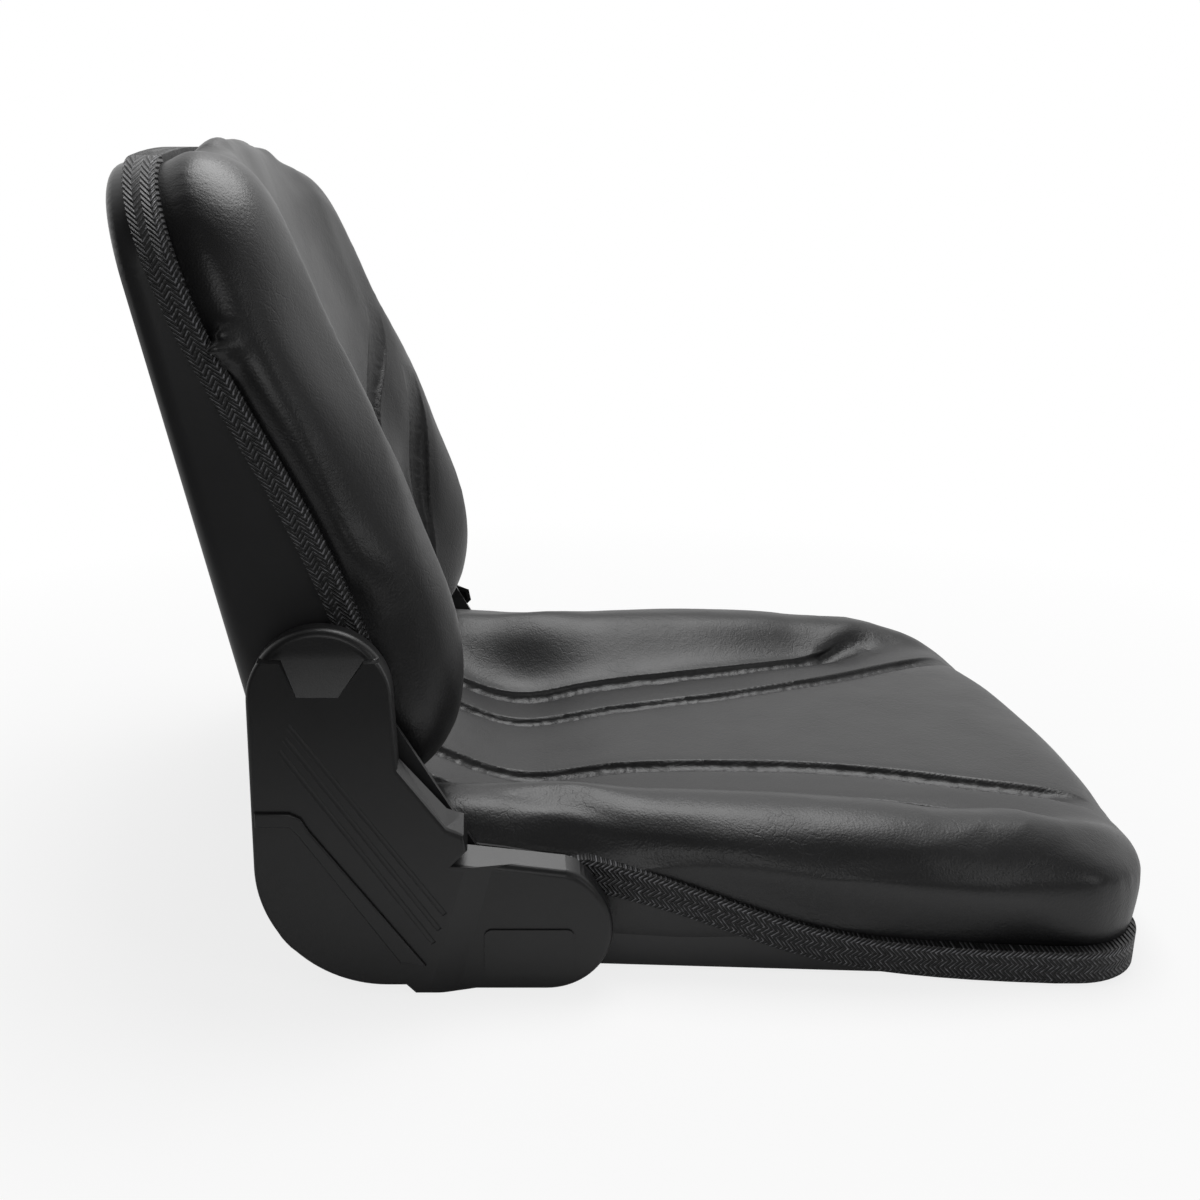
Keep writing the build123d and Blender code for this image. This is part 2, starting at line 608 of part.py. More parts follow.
# Backrest arms turning on the hinge plates
def arm_blank():
    """The right-hand arm, before its holes."""
    head = side_disc(pivot_x, pivot_z, arm_head_r)
    top_x, top_z = arm_top
    body = side_poly([(pivot_x - arm_head_r, pivot_z), (pivot_x + arm_head_r, pivot_z),
                      (top_x + arm_half_w, top_z), (top_x - arm_half_w, top_z)])
    return prism(head + body, -arm_y, arm_inner_y)


arm = arm_blank() - backrest_edge_trim
pivot_room = rod(pivot_x, pivot_z, pivot_nut_room, arm_inner_y, arm_inner_y + pivot_nut_h + nut_room)
back_cuts += [pivot_room, mirrored(pivot_room)]
backrest_cushion -= back_cuts
arm -= rod(pivot_x, pivot_z, pivot_r, -beyond, 0)
shell_hole = rod(pivot_x, pivot_z, pivot_r, -beyond, beyond)
backrest_shell -= shell_hole

os.makedirs("parts", exist_ok=True)
nodes = {
    "seat_pan": seat_pan,
    "mount_nuts": mount_nuts,
    "seat_cushion": seat_cushion,
    "seat_edge_trim": seat_edge_trim,
    "backrest_shell": backrest_shell,
    "backrest_cushion": backrest_cushion,
    "backrest_edge_trim": backrest_edge_trim,
    "hinge_bracket_right": bracket,
    "bracket_bolts_right": frame_bolts,
    "bracket_nuts_right": frame_nuts,
    "side_cover_right": cover_body,
    "cover_screws_right": cover_screws,
    "backrest_arm_right": arm,
    "pivot_bush_right": bush,
    "pivot_washer_right": washer,
    "pivot_bolt_right": pivot_bolt,
    "pivot_nut_right": pivot_nut,
    "stop_pin_right": stop_pin,
    "stop_stud_right": stop_stud,
}
for name in list(nodes):
    if name.endswith("_right"):
        nodes[name.replace("_right", "_left")] = mirrored(nodes[name])
for name, shape in nodes.items():
    export_step(shape, f"parts/{name}.step")
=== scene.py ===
import math

import bmesh
import bpy
import numpy as np
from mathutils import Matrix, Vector, noise


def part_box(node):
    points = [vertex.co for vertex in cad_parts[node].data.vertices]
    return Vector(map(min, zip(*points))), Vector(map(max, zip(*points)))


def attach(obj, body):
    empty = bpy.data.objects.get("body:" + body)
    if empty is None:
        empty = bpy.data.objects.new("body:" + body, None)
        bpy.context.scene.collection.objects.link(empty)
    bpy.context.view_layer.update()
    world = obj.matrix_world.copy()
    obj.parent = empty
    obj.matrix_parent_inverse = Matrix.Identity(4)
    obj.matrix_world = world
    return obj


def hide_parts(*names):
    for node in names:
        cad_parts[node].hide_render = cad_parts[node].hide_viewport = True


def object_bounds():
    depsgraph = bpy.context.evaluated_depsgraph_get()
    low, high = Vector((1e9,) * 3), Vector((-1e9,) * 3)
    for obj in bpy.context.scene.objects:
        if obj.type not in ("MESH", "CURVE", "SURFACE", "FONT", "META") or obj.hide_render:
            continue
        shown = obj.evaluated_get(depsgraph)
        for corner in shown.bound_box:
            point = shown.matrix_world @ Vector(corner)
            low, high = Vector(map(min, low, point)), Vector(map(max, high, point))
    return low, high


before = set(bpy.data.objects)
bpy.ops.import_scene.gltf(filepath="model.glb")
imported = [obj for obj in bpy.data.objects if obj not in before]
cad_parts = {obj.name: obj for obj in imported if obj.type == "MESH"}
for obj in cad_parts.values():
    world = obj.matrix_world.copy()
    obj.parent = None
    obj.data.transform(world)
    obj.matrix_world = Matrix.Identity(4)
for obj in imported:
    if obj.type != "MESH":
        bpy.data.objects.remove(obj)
CAD_BOX = [list(corner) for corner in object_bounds()]

bl_info = {
    "name": "Folding tractor seat",
    "version": (1, 0, 0),
    "blender": (4, 5, 0),
    "location": "3D View > Sidebar > Seat",
    "description": "Dresses a folding tractor seat: padded covers, braided edges, steel and moulded covers",
    "category": "Object",
}

MM = 0.001

# Groove lines of the padded covers: seat as forward and sideways, backrest as up and sideways, in mm
SEAT_INNER = [(-195, 50), (-130, 50), (-82, 49), (-30, 51), (30, 58), (90, 69), (150, 87), (205, 110),
              (236, 122), (258, 132)]
SEAT_OUTER = [(-195, 99), (-130, 99), (-82, 99), (-30, 103), (30, 110), (90, 120), (150, 136), (190, 153)]
SEAT_WEDGE = [(168, 146), (190, 157), (212, 169)]
BACK_INNER = [(92, 54), (128, 57), (163, 57), (205, 62), (260, 82), (310, 123), (335, 136)]
BACK_OUTER = [(92, 97), (128, 100), (163, 103), (205, 113), (260, 137), (290, 148)]
# Upper edge of the seat's edge trim, seen from the side, in mm
SEAT_TRIM_TOP = [(-140, 78), (-52, 66), (4, 51), (55, 33), (88, 24.5), (131, 19), (208, 16.5), (300, 16)]
# Front edge of the backrest's edge trim, seen from the side as up and forward, in mm
BACK_TRIM_FRONT = [(80, -146), (120, -151), (171, -161), (246, -190), (316, -227), (352, -245), (397, -261),
                   (430, -270), (460, -276)]

# Sizes in mm. The seat cushion from above: half width at the rear, what it gains towards the front and over
# which run, its front edge and its front corners' radius
SEAT_HALF, SEAT_GAIN, SEAT_GAIN_START, SEAT_GAIN_RUN = 206, 16, -95, 300
SEAT_FRONT, SEAT_CORNER = 268, 42
# The backrest cushion from the front: half width, top, corner radius, and the size of its top's arch
BACK_HALF, BACK_TOP, BACK_CORNER, BACK_ARCH = 203, 441, 62, 2441
# The backrest's rear face: its slope, a point on it as forward and up, and how deep the foam is held there
BACK_SLOPE = math.tan(math.radians(13.2))
BACK_FOOT = (-230, 163)
BACK_HELD = 12

# How far the seat's cover is moved: out over the trim at the sides, less at the front, forward at the nose,
# down on the bolsters' crests and behind them, up outside that, and down, back and out where the nose is tucked
# in, but not below a height
SIDE_ROLL, FRONT_LESS, NOSE_BOW = 9, 11, 17
CREST_DROP, REAR_DROP, REAR_RISE = 6, 5, 4
TUCK_DOWN, TUCK_BACK, TUCK_OUT, TUCK_FLOOR = 16, 6, 5, 4
# How far the backrest's cover is moved: out over the trim, more at the top, and back in its middle panel
BACK_ROLL, BACK_TOP_ROLL, BACK_DISH = 9, 9, 11
# A pucker of loose cover by the backrest's trim: its place as forward and up, its size, and its reach
# backwards and sideways
PUCKER, PUCKER_SIZE, PUCKER_OUT = (-232, 338), (6, 9), (5, 9)
# Grooves: how far from a line the foam is evened out, divided finer and creased, and the soft wedge's size
LEVEL_REACH, FINER_REACH, CREASE_REACH = 15.0, 11.0, 9.0
WEDGE_HALF, WEDGE_DEPTH = 12, 2.2

# Changes to the trims and the pressed pieces: share kept of the backrest trim's width, drop of the seat trim's
# rear end, drop of the backrest's top edge, and how far the shell's rear is moved back
TRIM_KEPT, TRIM_END_DROP, TOP_DROP, SHELL_BACK = 0.82, 8, 5, 6
# Changes to the side covers: where their outer face lies, share kept of their rib grooves' depth, and the rise
# of the flap's top over a width
COVER_FACE, RIB_KEPT, FLAP_RISE, FLAP_WIDTH = 235, 0.4, 8.4, 28


class SeatCushionSettings(bpy.types.PropertyGroup):
    voxel: bpy.props.FloatProperty(
        name="Remesh size", description="Grid on which the foam and cover are rebuilt",
        default=0.005, unit="LENGTH", subtype="DISTANCE")
    swell: bpy.props.FloatProperty(
        name="Swell limit", description="Furthest that the pressure may move the cover",
        default=0.005, unit="LENGTH", subtype="DISTANCE")
    pressure: bpy.props.FloatProperty(
        name="Foam pressure", description="Push of the foam against the cover", default=4.0)
    groove_half: bpy.props.FloatProperty(
        name="Groove half width", description="Half the width of a formed groove",
        default=0.0084, unit="LENGTH", subtype="DISTANCE")
    groove_depth: bpy.props.FloatProperty(
        name="Groove depth", description="Depth of a formed groove",
        default=0.0050, unit="LENGTH", subtype="DISTANCE")


class SeatFinishSettings(bpy.types.PropertyGroup):
    leathercloth: bpy.props.StringProperty(
        name="Leathercloth", description="sRGB colour of the padded covers", default="121213")
    braid: bpy.props.StringProperty(
        name="Braid", description="sRGB colour of the edge trims", default="1C1C1D")
    paint: bpy.props.StringProperty(
        name="Steel paint", description="sRGB colour of the painted steel", default="1E1E1F")
    plastic: bpy.props.StringProperty(
        name="Cover plastic", description="sRGB colour of the side covers", default="0D0D0E")
    zinc: bpy.props.StringProperty(
        name="Zinc plate", description="sRGB colour of the fixings", default="B4B2AA")
    nylon: bpy.props.StringProperty(
        name="Nylon", description="sRGB colour of the hinge bushes", default="CFCBC0")
    floor: bpy.props.StringProperty(
        name="Floor", description="sRGB colour of the floor", default="F4F4F4")


class SeatStageSettings(bpy.types.PropertyGroup):
    lens: bpy.props.FloatProperty(name="Lens", description="Focal length of the camera in mm", default=40.5)
    height: bpy.props.FloatProperty(
        name="Camera height", description="Height of the camera over the pan", default=0.405,
        unit="LENGTH", subtype="DISTANCE")
    reach: bpy.props.FloatProperty(
        name="Camera distance", description="Distance of the camera from the seat's middle plane",
        default=0.873, unit="LENGTH", subtype="DISTANCE")
    along: bpy.props.FloatProperty(
        name="Camera place", description="How far forward the camera stands", default=-0.11,
        unit="LENGTH", subtype="DISTANCE")
    tilt: bpy.props.FloatProperty(
        name="Camera tilt", description="Angle that the camera looks down", default=math.radians(16.31),
        subtype="ANGLE")
    shift: bpy.props.FloatProperty(
        name="Sideways shift", description="Lens shift that frames the seat", default=0.1025)


def linear(text):
    """Turns an sRGB hex colour into linear RGBA."""
    parts = [int(text[i:i + 2], 16) / 255 for i in (0, 2, 4)]
    return tuple(c / 12.92 if c <= 0.04045 else ((c + 0.055) / 1.055) ** 2.4 for c in parts) + (1.0,)


def add(tree, kind, links=(), **settings):
    """Adds a shader node with its settings, links given sockets into its inputs and returns it."""
    made = tree.nodes.new(kind)
    for name, value in settings.items():
        if name.startswith("in_"):
            key = name[3:].replace("_", " ")
            made.inputs[int(key) if key.isdigit() else key].default_value = value
        else:
            setattr(made, name, value)
    for key, socket in links:
        tree.links.new(socket, made.inputs[key])
    return made


def blank(name):
    """A new material with only its output, returned with its node tree and output."""
    made = bpy.data.materials.new(name)
    made.use_nodes = True
    made.node_tree.nodes.clear()
    out = made.node_tree.nodes.new("ShaderNodeOutputMaterial")
    return made, made.node_tree, out


def finish_settings():
    """The colours of the finishes."""
    return bpy.context.scene.seat_finish


def leathercloth():
    # Black PVC leathercloth, calendered with a fine pebble grain and vacuum formed over foam: a satin skin
    # whose broad highlights are broken by the grain, by slack patches and by hairline wrinkles.
    name = "black_pvc_leathercloth"
    if name in bpy.data.materials:
        return bpy.data.materials[name]
    mat, tree, out = blank(name)
    place = add(tree, "ShaderNodeTexCoord")
    # Pebbles of about 1.1 mm, drawn a little coarse so that they show
    grain = add(tree, "ShaderNodeTexVoronoi", [("Vector", place.outputs["Object"])], feature="SMOOTH_F1",
                in_Scale=1 / (1.3 * MM), in_Smoothness=0.6)
    crease = add(tree, "ShaderNodeTexNoise", [("Vector", place.outputs["Object"])], in_Scale=1 / (4.0 * MM),
                 in_Detail=4.0, in_Roughness=0.6)
    # Hairline wrinkles round patches of about 9 mm, only where the cover hangs a little loose
    bend = add(tree, "ShaderNodeTexNoise", [("Vector", place.outputs["Object"])], in_Scale=1 / (12.0 * MM),
               in_Detail=3.0)
    shifted = add(tree, "ShaderNodeVectorMath", [(0, bend.outputs["Color"])], operation="SCALE",
                  in_Scale=14.0 * MM)
    warped = add(tree, "ShaderNodeVectorMath", [(0, place.outputs["Object"]), (1, shifted.outputs[0])],
                 operation="ADD")
    cells = add(tree, "ShaderNodeTexVoronoi", [("Vector", warped.outputs[0])], feature="DISTANCE_TO_EDGE",
                in_Scale=1 / (9.0 * MM))
    hair = add(tree, "ShaderNodeMapRange", [("Value", cells.outputs["Distance"])], in_From_Max=0.07)
    slack = add(tree, "ShaderNodeTexNoise", [("Vector", place.outputs["Object"])], in_Scale=1 / (38.0 * MM),
                in_Detail=2.0)
    worn_sheen_and_painted_glint = add(tree, "ShaderNodeMapRange", [("Value", slack.outputs["Fac"])], in_To_Min=0.34,
               in_To_Max=0.46)
    tone = add(tree, "ShaderNodeValToRGB", [("Fac", crease.outputs["Fac"])])
    base = linear(finish_settings().leathercloth)
    tone.color_ramp.elements[0].color = tuple(c * 0.75 for c in base[:3]) + (1.0,)
    tone.color_ramp.elements[1].color = tuple(c * 1.3 for c in base[:3]) + (1.0,)
    fold = add(tree, "ShaderNodeAttribute", attribute_name="fold")
    gather = add(tree, "ShaderNodeMapRange", [("Value", fold.outputs["Fac"])], in_To_Min=0.12,
                 in_To_Max=0.55)
    rough_bump = add(tree, "ShaderNodeBump", [("Height", slack.outputs["Fac"])], in_Strength=0.22,
                     in_Distance=2.2 * MM)
    loose = add(tree, "ShaderNodeMapRange", [("Value", slack.outputs["Fac"])], in_From_Min=0.45,
                in_From_Max=0.65, in_To_Max=0.22)
    hair_bump = add(tree, "ShaderNodeBump",
                    [("Height", hair.outputs[0]), ("Normal", rough_bump.outputs[0]),
                     ("Strength", loose.outputs[0])], in_Distance=0.35 * MM)
    crease_bump = add(tree, "ShaderNodeBump",
                      [("Height", crease.outputs["Fac"]), ("Normal", hair_bump.outputs[0]),
                       ("Strength", gather.outputs[0])], in_Distance=1.2 * MM)
    grain_bump = add(tree, "ShaderNodeBump",
                     [("Height", grain.outputs["Distance"]), ("Normal", crease_bump.outputs[0])],
                     in_Strength=0.35, in_Distance=0.25 * MM)
    skin = add(tree, "ShaderNodeBsdfPrincipled",
               [("Base Color", tone.outputs[0]), ("Roughness", worn_sheen_and_painted_glint.outputs[0]),
                ("Normal", grain_bump.outputs[0])], in_IOR=1.5)
    tree.links.new(skin.outputs[0], out.inputs[0])
    return mat


def braid():
    # Woven polyester braid over a soft channel: matt herringbone threads with one ridge along the top, with
    # glints painted into the colour.
    name = "black_woven_braid"
    if name in bpy.data.materials:
        return bpy.data.materials[name]
    mat, tree, out = blank(name)
    run = add(tree, "ShaderNodeUVMap", uv_map="braid")
    # Threads 2.7 mm apart at about 45 degrees, drawn a little coarse so that they show, changing hand every
    # 4.2 mm
    parts = add(tree, "ShaderNodeSeparateXYZ", [("Vector", run.outputs[0])])
    fold = add(tree, "ShaderNodeMath", [(0, parts.outputs["Y"])], operation="PINGPONG", in_1=4.2 * MM)
    lean = add(tree, "ShaderNodeMath", [(0, parts.outputs["X"]), (1, fold.outputs[0])], operation="ADD")
    turns = add(tree, "ShaderNodeMath", [(0, lean.outputs[0])], operation="MULTIPLY",
                in_1=2 * math.pi / (2.7 * MM))
    thread = add(tree, "ShaderNodeMath", [(0, turns.outputs[0])], operation="SINE")
    rise = add(tree, "ShaderNodeMapRange", [("Value", thread.outputs[0])], in_From_Min=-1.0)
    # Painted glints: the threads' tops are painted lighter in broken patches, standing in for the shine of worn
    # threads
    glint_patch_noise = add(tree, "ShaderNodeTexNoise", [("Vector", run.outputs[0])], in_Scale=1 / (2.6 * MM),
               in_Detail=2.0)
    worn_sheen_and_painted_glint = add(tree, "ShaderNodeMath", [(0, rise.outputs[0]), (1, glint_patch_noise.outputs["Fac"])],
               operation="MULTIPLY")
    # A ridge 3 mm below the upper edge, raised by a bump and painted with the brightest glints
    off = add(tree, "ShaderNodeMath", [(0, parts.outputs["Y"])], operation="SUBTRACT", in_1=3.0 * MM)
    away = add(tree, "ShaderNodeMath", [(0, off.outputs[0])], operation="ABSOLUTE")
    ridge = add(tree, "ShaderNodeMapRange", [("Value", away.outputs[0])], in_From_Max=1.6 * MM, in_To_Min=1.0,
                in_To_Max=0.0)
    ridge_glint_boost = add(tree, "ShaderNodeMapRange", [("Value", ridge.outputs[0])], in_To_Min=0.85, in_To_Max=1.5)
    painted_glint = add(tree, "ShaderNodeMath", [(0, worn_sheen_and_painted_glint.outputs[0]), (1, ridge_glint_boost.outputs[0])],
                operation="MULTIPLY")
    # Painted highlight and shade: the colour runs from half the braid's colour, a painted shade, up to fifteen
    # times it on the painted glints
    tone = add(tree, "ShaderNodeValToRGB", [("Fac", painted_glint.outputs[0])])
    base = linear(finish_settings().braid)
    tone.color_ramp.elements[0].position = 0.3
    tone.color_ramp.elements[0].color = tuple(c * 0.5 for c in base[:3]) + (1.0,)
    tone.color_ramp.elements[1].position = 0.62
    tone.color_ramp.elements[1].color = tuple(c * 15.0 for c in base[:3]) + (1.0,)
    edge = add(tree, "ShaderNodeBump", [("Height", ridge.outputs[0])], in_Strength=0.8, in_Distance=1.0 * MM)
    weave = add(tree, "ShaderNodeBump", [("Height", rise.outputs[0]), ("Normal", edge.outputs[0])],
                in_Strength=1.0, in_Distance=0.8 * MM)
    skin = add(tree, "ShaderNodeBsdfPrincipled",
               [("Base Color", tone.outputs[0]), ("Normal", weave.outputs[0])],
               in_Roughness=0.5, in_IOR=1.5)
    tree.links.new(skin.outputs[0], out.inputs[0])
    return mat


def painted_steel():
    # Pressed steel in black satin enamel: smooth with a slight orange peel.
    name = "black_enamelled_steel"
    if name in bpy.data.materials:
        return bpy.data.materials[name]
    mat, tree, out = blank(name)
    place = add(tree, "ShaderNodeTexCoord")
    peel = add(tree, "ShaderNodeTexNoise", [("Vector", place.outputs["Object"])],
               in_Scale=1 / (2.5 * MM), in_Detail=2.0)
    dust = add(tree, "ShaderNodeTexNoise", [("Vector", place.outputs["Object"])],
               in_Scale=1 / (60 * MM), in_Detail=4.0)
    haze = add(tree, "ShaderNodeMapRange", [("Value", dust.outputs["Fac"])], in_To_Min=0.26, in_To_Max=0.38)
    bump = add(tree, "ShaderNodeBump", [("Height", peel.outputs["Fac"])], in_Strength=0.12,
               in_Distance=0.2 * MM)
    skin = add(tree, "ShaderNodeBsdfPrincipled",
               [("Roughness", haze.outputs[0]), ("Normal", bump.outputs[0])],
               in_Base_Color=linear(finish_settings().paint), in_IOR=1.5)
    tree.links.new(skin.outputs[0], out.inputs[0])
    return mat


def moulded_plastic():
    # Injection moulded polypropylene from a spark-eroded tool: satin near-black with a fine sandy skin.
    name = "charcoal_moulded_polypropylene"
    if name in bpy.data.materials:
        return bpy.data.materials[name]
    mat, tree, out = blank(name)
    place = add(tree, "ShaderNodeTexCoord")
    grit = add(tree, "ShaderNodeTexNoise", [("Vector", place.outputs["Object"])],
               in_Scale=1 / (0.9 * MM), in_Detail=2.0)
    flow = add(tree, "ShaderNodeTexNoise", [("Vector", place.outputs["Object"])],
               in_Scale=1 / (45 * MM), in_Detail=3.0)
    haze = add(tree, "ShaderNodeMapRange", [("Value", flow.outputs["Fac"])], in_To_Min=0.34, in_To_Max=0.44)
    bump = add(tree, "ShaderNodeBump", [("Height", grit.outputs["Fac"])], in_Strength=0.25,
               in_Distance=0.15 * MM)
    skin = add(tree, "ShaderNodeBsdfPrincipled",
               [("Roughness", haze.outputs[0]), ("Normal", bump.outputs[0])],
               in_Base_Color=linear(finish_settings().plastic), in_IOR=1.49)
    tree.links.new(skin.outputs[0], out.inputs[0])
    return mat


def zinc_plate():
    # Bright zinc on turned and pressed steel: pale grey metal with a soft, slightly patchy shine.
    name = "zinc_plated_steel"
    if name in bpy.data.materials:
        return bpy.data.materials[name]
    mat, tree, out = blank(name)
    place = add(tree, "ShaderNodeTexCoord")
    patch = add(tree, "ShaderNodeTexNoise", [("Vector", place.outputs["Object"])],
                in_Scale=1 / (3 * MM), in_Detail=3.0)
    haze = add(tree, "ShaderNodeMapRange", [("Value", patch.outputs["Fac"])], in_To_Min=0.28, in_To_Max=0.45)
    skin = add(tree, "ShaderNodeBsdfPrincipled", [("Roughness", haze.outputs[0])],
               in_Base_Color=linear(finish_settings().zinc), in_Metallic=1.0)
    tree.links.new(skin.outputs[0], out.inputs[0])
    return mat


def bush_nylon():
    # Natural moulded nylon: waxy off-white.
    name = "natural_nylon"
    if name in bpy.data.materials:
        return bpy.data.materials[name]
    mat, tree, out = blank(name)
    place = add(tree, "ShaderNodeTexCoord")
    wax = add(tree, "ShaderNodeTexNoise", [("Vector", place.outputs["Object"])],
              in_Scale=1 / (6 * MM), in_Detail=2.0)
    haze = add(tree, "ShaderNodeMapRange", [("Value", wax.outputs["Fac"])], in_To_Min=0.4, in_To_Max=0.5)
    skin = add(tree, "ShaderNodeBsdfPrincipled", [("Roughness", haze.outputs[0])],
               in_Base_Color=linear(finish_settings().nylon), in_IOR=1.53)
    tree.links.new(skin.outputs[0], out.inputs[0])
    return mat


def dress(node, mat):
    """Gives a solid of the frame a finish."""
    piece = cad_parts[node]
    piece.data.materials.clear()
    piece.data.materials.append(mat)


def copy_of(node, name):
    """A merged copy of a solid's mesh as a new object."""
    shape = bmesh.new()
    shape.from_mesh(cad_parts[node].data)
    bmesh.ops.remove_doubles(shape, verts=shape.verts, dist=0.02 * MM)
    bmesh.ops.recalc_face_normals(shape, faces=shape.faces)
    mesh = bpy.data.meshes.new(name)
    shape.to_mesh(mesh)
    shape.free()
    piece = bpy.data.objects.new(name, mesh)
    bpy.context.scene.collection.objects.link(piece)
    return piece


def settle(piece):
    """Applies a piece's modifiers to its mesh."""
    graph = bpy.context.evaluated_depsgraph_get()
    mesh = bpy.data.meshes.new_from_object(piece.evaluated_get(graph))
    old = piece.data
    piece.modifiers.clear()
    piece.data = mesh
    bpy.data.meshes.remove(old)


def points_of(mesh):
    """The mesh's points as an array."""
    flat = np.empty(len(mesh.vertices) * 3)
    mesh.vertices.foreach_get("co", flat)
    return flat.reshape(-1, 3)


def normals_of(mesh):
    """The mesh's point normals as an array."""
    flat = np.empty(len(mesh.vertices) * 3)
    mesh.vertex_normals.foreach_get("vector", flat)
    return flat.reshape(-1, 3)


def put_points(mesh, spots):
    """Moves the mesh's points to the places in an array."""
    mesh.vertices.foreach_set("co", spots.ravel())
    mesh.update()


def eased(mesh, field, rounds, share=1.0):
    """Evens out a field on the mesh's points between neighbours, each point by its share."""
    ends = np.empty(len(mesh.edges) * 2, dtype=int)
    mesh.edges.foreach_get("vertices", ends)
    a, b = ends.reshape(-1, 2).T
    here, there = np.concatenate([a, b]), np.concatenate([b, a])
    count = np.maximum(np.bincount(here, minlength=len(field)), 1)[:, None]
    for _ in range(rounds):
        total = np.column_stack([np.bincount(here, field[there, i], len(field)) for i in range(3)])
        mean = total / count
        field = field + 0.5 * share * (mean - field)
    return field


def step(value, low, high):
    """A smooth rise from 0 to 1 between two values."""
    t = np.clip((value - low) / (high - low), 0, 1)
    return t * t * (3 - 2 * t)


def line_at(line, value):
    """The second coordinate of a smooth line where its first has a value."""
    dense = np.array(smooth_line(line))
    return np.interp(value, dense[:, 0], dense[:, 1])


def to_edge(across, along, half, top, radius):
    """Distance of flat points inside a rounded outline, below zero inside, and the way out of it."""
    over = np.abs(across) - (half - radius)
    up = along - (top - radius)
    corner = np.hypot(np.maximum(over, 0), np.maximum(up, 0))
    gap = np.minimum(np.maximum(over, up), 0) + corner - radius
    both = (over > 0) & (up > 0)
    size = np.maximum(corner, 1e-6)
    out_across = np.where(both, over / size, over > up) * np.sign(across)
    out_along = np.where(both, up / size, over <= up)
    return gap, out_across, out_along


def form(piece, move, rounds):
    """Moves the foam by an evened out movement in mm."""
    put_points(piece.data, points_of(piece.data) + eased(piece.data, move * MM, rounds))


def stuff(piece, held):
    """Swells a foam piece against its cover with a short cloth run. held is true for points that stay put."""
    settings = bpy.context.scene.seat_cushion
    remesh = piece.modifiers.new("Remesh", "REMESH")
    remesh.mode = "VOXEL"
    remesh.voxel_size = settings.voxel
    ease = piece.modifiers.new("Ease", "SMOOTH")
    ease.factor = 0.5
    ease.iterations = 5
    settle(piece)
    start = points_of(piece.data)
    pins = piece.vertex_groups.new(name="held")
    pins.add([int(i) for i in np.nonzero(held(start))[0]], 1.0, "REPLACE")
    cloth = piece.modifiers.new("Cover", "CLOTH")
    cloth.settings.vertex_group_mass = "held"
    cloth.settings.use_pressure = True
    cloth.settings.uniform_pressure_force = settings.pressure
    cloth.settings.effector_weights.gravity = 0.0
    cloth.settings.quality = 4
    cloth.point_cache.frame_start = 1
    cloth.point_cache.frame_end = 20
    scene = bpy.context.scene
    for number in range(1, 21):
        scene.frame_set(number)
    settle(piece)
    piece.vertex_groups.clear()
    scene.frame_set(1)
    moved = eased(piece.data, points_of(piece.data) - start, 25)
    length = np.linalg.norm(moved, axis=1)
    moved *= (np.minimum(length, settings.swell) / np.maximum(length, 1e-9))[:, None]
    put_points(piece.data, start + moved)


def refine(piece):
    """Divides every face once, smoothly."""
    finer = piece.modifiers.new("Finer", "SUBSURF")
    finer.levels = 1
    finer.render_levels = 1
    settle(piece)


def off_line(spots, line):
    """Distance of flat points from a line through points, and how far along it the nearest place is."""
    best = np.full(len(spots), 1e9)
    where = np.zeros(len(spots))
    run = 0.0
    for a, b in zip(line, line[1:]):
        a, b = np.array(a, float), np.array(b, float)
        leg = b - a
        size = np.linalg.norm(leg)
        t = np.clip(((spots - a) @ leg) / size ** 2, 0, 1)
        gap = np.linalg.norm(spots - a - t[:, None] * leg, axis=1)
        nearer = gap < best
        best = np.where(nearer, gap, best)
        where = np.where(nearer, run + t * size, where)
        run += size
    return best, where / run


def smooth_line(line, parts=8):
    """Points of a smooth line through a few points."""
    knots = np.array(line, float)
    padded = np.vstack([2 * knots[0] - knots[1], knots, 2 * knots[-1] - knots[-2]])
    out = []
    for i in range(1, len(padded) - 2):
        p0, p1, p2, p3 = padded[i - 1:i + 3]
        for t in np.linspace(0, 1, parts, endpoint=False):
            out.append(0.5 * (2 * p1 + (p2 - p0) * t + (2 * p0 - 5 * p1 + 4 * p2 - p3) * t * t
                              + (3 * p1 - p0 - 3 * p2 + p3) * t ** 3))
    out.append(knots[-1])
    return [tuple(p) for p in out]


def groove_gap(spots, flat, line):
    """Distance in mm of each point from a groove line or its mirror image, and its share along the line."""
    drawn = spots[:, flat] / MM
    drawn[:, 1] = np.abs(drawn[:, 1])
    return off_line(drawn, smooth_line(line))


def finer_near(piece, flat, facing, lines, reach):
    """Divides the faces near groove lines once more, so that the grooves come out crisp."""
    mesh = piece.data
    centres = np.empty(len(mesh.polygons) * 3)
    mesh.polygons.foreach_get("center", centres)
    ways = np.empty(len(mesh.polygons) * 3)
    mesh.polygons.foreach_get("normal", ways)
    centres, ways = centres.reshape(-1, 3), ways.reshape(-1, 3)
    near = np.zeros(len(centres), dtype=bool)
    for line in lines:
        near |= groove_gap(centres, flat, line)[0] < reach
    near &= facing(centres, ways) > 0
    shape = bmesh.new()
    shape.from_mesh(mesh)
    shape.faces.ensure_lookup_table()
    edges = {e for i in np.nonzero(near)[0] for e in shape.faces[int(i)].edges}
    bmesh.ops.subdivide_edges(shape, edges=list(edges), cuts=1, use_grid_fill=True, smooth=0.0)
    shape.to_mesh(mesh)
    shape.free()


def level(piece, flat, facing, lines, reach):
    """Evens out the foam's own dips near groove lines, so that the pressed grooves run clean."""
    spots = points_of(piece.data)
    near = np.zeros(len(spots))
    for line in lines:
        near = np.maximum(near, 1 - step(groove_gap(spots, flat, line)[0], 0.55 * reach, reach))
    near *= facing(spots, normals_of(piece.data))
    put_points(piece.data, eased(piece.data, spots, 60, near[:, None]))


